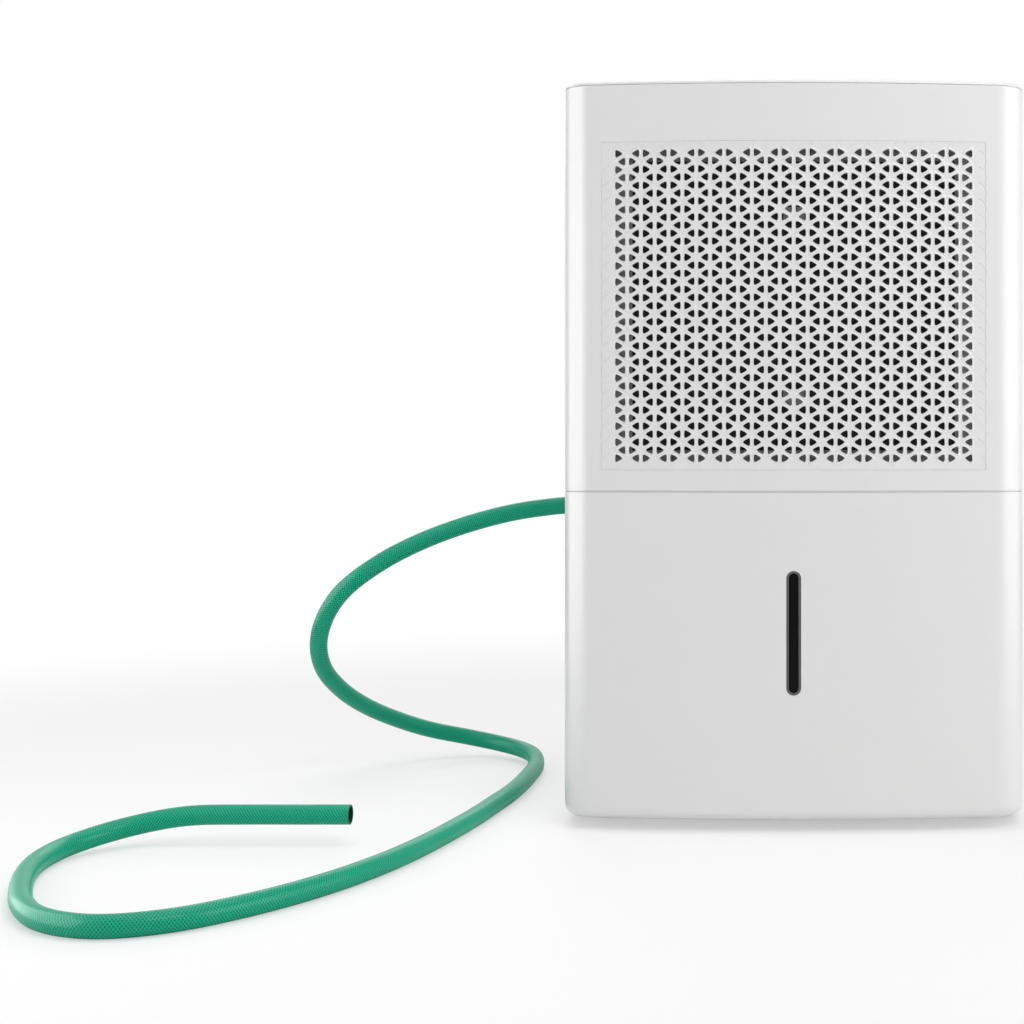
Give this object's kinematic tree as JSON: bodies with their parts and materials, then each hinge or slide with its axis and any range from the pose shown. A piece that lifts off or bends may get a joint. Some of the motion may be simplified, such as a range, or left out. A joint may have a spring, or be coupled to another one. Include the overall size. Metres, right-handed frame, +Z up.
{
  "type": "dehumidifier",
  "caption": "Portable white dehumidifier tower: bowed front with triangular lattice intake, pull-out water bucket with level window, lift-out filter, casters and braided drain hose.",
  "frame": {"origin": "on the floor under the centre of the cabinet", "axes": "+Z up, -Y towards the front with the intake grille, +X to the viewer's right"},
  "size_m": [0.7654, 0.6698, 0.62],
  "materials": {
    "white_shell": "satin moulded white plastic",
    "white_inner": "moulded white plastic, inner pieces",
    "grille_white": "satin moulded white plastic, fine lattice",
    "bezel_grey": "dark grey moulded plastic",
    "lens_black": "near-black glossy clear plastic",
    "tub_clear": "translucent bluish tub plastic",
    "filter_grey": "mid-grey moulded filter frame",
    "filter_net": "fine dark filter mesh",
    "coil_metal": "bare aluminium fins on tubes",
    "bracket_steel": "zinc-plated steel sheet",
    "motor_metal": "painted motor can",
    "shaft_steel": "turned steel",
    "copper_line": "bare copper tube",
    "compressor_black": "black painted steel shell",
    "rubber_black": "black rubber",
    "black_plastic": "black moulded plastic",
    "board_green": "green circuit board",
    "button_white": "glossy white caps",
    "control_dark": "dark glossy control plate",
    "screw_steel": "zinc-plated screws",
    "caster_black": "black moulded nylon",
    "wheel_grey": "dark grey tread",
    "hose_green": "green translucent braided tube"
  },
  "bodies": {
    "root": {"base_pan": "white_inner", "caster_sockets": "black_plastic", "side_panels": "white_shell", "back_panel": "white_shell", "side_cups": "white_shell", "top_cover": "white_shell", "front_panel": "white_shell", "intake_grille": "grille_white", "outlet_grille": "white_shell", "bucket_bay": "white_inner", "drain_deck": "white_inner", "drain_pipe": "rubber_black", "drain_port": "black_plastic", "cord_gland": "black_plastic", "case_screws": "screw_steel", "evaporator_coil": "coil_metal", "condenser_coil": "coil_metal", "fan_shroud": "white_inner", "motor_bracket": "bracket_steel", "fan_motor": "motor_metal", "compressor": "compressor_black", "compressor_cap": "black_plastic", "compressor_mounts": "rubber_black", "accumulator": "compressor_black", "refrigerant_lines": "copper_line", "electrics_box": "black_plastic", "run_capacitor": "shaft_steel", "reed_switch": "black_plastic", "humidity_sensor": "white_inner", "control_plate": "control_dark", "display_lens": "lens_black", "control_board": "board_green", "hose_coupling": "black_plastic", "drain_hose": "hose_green", "hose_tail": "hose_green"},
    "fan": {"fan_shaft": "shaft_steel", "fan_blades": "white_inner"},
    "filter": {"filter_frame": "filter_grey", "filter_mesh": "filter_net"},
    "bucket": {"bucket_front": "white_shell", "bucket_clips": "white_inner", "bucket_tub": "tub_clear", "bucket_lid": "white_inner", "level_window": "lens_black", "window_bezel": "bezel_grey"},
    "float": {"float_arm": "white_inner", "float_magnet": "shaft_steel"},
    "button_power": {"button_power": "button_white"},
    "button_mode": {"button_mode": "button_white"},
    "button_fan_speed": {"button_fan_speed": "button_white"},
    "button_humidity": {"button_humidity": "button_white"},
    "button_timer": {"button_timer": "button_white"},
    "caster_fl": {"caster_fork_fl": "caster_black"},
    "wheel_fl": {"caster_wheel_fl": "wheel_grey"},
    "caster_fr": {"caster_fork_fr": "caster_black"},
    "wheel_fr": {"caster_wheel_fr": "wheel_grey"},
    "caster_rl": {"caster_fork_rl": "caster_black"},
    "wheel_rl": {"caster_wheel_rl": "wheel_grey"},
    "caster_rr": {"caster_fork_rr": "caster_black"},
    "wheel_rr": {"caster_wheel_rr": "wheel_grey"}
  },
  "joints": [
    {"name": "bucket_slide", "type": "slide", "parent": "root", "child": "bucket", "axis": [0, -1, 0], "range_m": [0, 0.17]},
    {"name": "float_hinge", "type": "hinge", "parent": "bucket", "child": "float", "pos_m": [-0.105, 0.0088, 0.238], "axis": [-1, 0, 0], "range_deg": [0, 10]},
    {"name": "fan_spin", "type": "hinge", "parent": "root", "child": "fan", "pos_m": [0, 0, 0.43775], "axis": [0, 1, 0], "continuous": true},
    {"name": "filter_slide", "type": "slide", "parent": "root", "child": "filter", "axis": [0, 0, 1], "range_m": [0, 0.29]},
    {"name": "button_power_press", "type": "slide", "parent": "root", "child": "button_power", "axis": [0, 0, -1], "range_m": [0, 0.0008], "stiffness_N_per_m": 600},
    {"name": "button_mode_press", "type": "slide", "parent": "root", "child": "button_mode", "axis": [0, 0, -1], "range_m": [0, 0.0008], "stiffness_N_per_m": 600},
    {"name": "button_fan_speed_press", "type": "slide", "parent": "root", "child": "button_fan_speed", "axis": [0, 0, -1], "range_m": [0, 0.0008], "stiffness_N_per_m": 600},
    {"name": "button_humidity_press", "type": "slide", "parent": "root", "child": "button_humidity", "axis": [0, 0, -1], "range_m": [0, 0.0008], "stiffness_N_per_m": 600},
    {"name": "button_timer_press", "type": "slide", "parent": "root", "child": "button_timer", "axis": [0, 0, -1], "range_m": [0, 0.0008], "stiffness_N_per_m": 600},
    {"name": "caster_fl_swivel", "type": "hinge", "parent": "root", "child": "caster_fl", "pos_m": [-0.1655, -0.06, 0.03], "axis": [0, 0, 1], "continuous": true},
    {"name": "wheel_fl_spin", "type": "hinge", "parent": "caster_fl", "child": "wheel_fl", "pos_m": [-0.1655, -0.053, 0.0125], "axis": [1, 0, 0], "continuous": true},
    {"name": "caster_fr_swivel", "type": "hinge", "parent": "root", "child": "caster_fr", "pos_m": [0.1655, -0.06, 0.03], "axis": [0, 0, 1], "continuous": true},
    {"name": "wheel_fr_spin", "type": "hinge", "parent": "caster_fr", "child": "wheel_fr", "pos_m": [0.1655, -0.053, 0.0125], "axis": [1, 0, 0], "continuous": true},
    {"name": "caster_rl_swivel", "type": "hinge", "parent": "root", "child": "caster_rl", "pos_m": [-0.1655, 0.102, 0.03], "axis": [0, 0, 1], "continuous": true},
    {"name": "wheel_rl_spin", "type": "hinge", "parent": "caster_rl", "child": "wheel_rl", "pos_m": [-0.1655, 0.109, 0.0125], "axis": [1, 0, 0], "continuous": true},
    {"name": "caster_rr_swivel", "type": "hinge", "parent": "root", "child": "caster_rr", "pos_m": [0.1655, 0.102, 0.03], "axis": [0, 0, 1], "continuous": true},
    {"name": "wheel_rr_spin", "type": "hinge", "parent": "caster_rr", "child": "wheel_rr", "pos_m": [0.1655, 0.109, 0.0125], "axis": [1, 0, 0], "continuous": true}
  ]
}
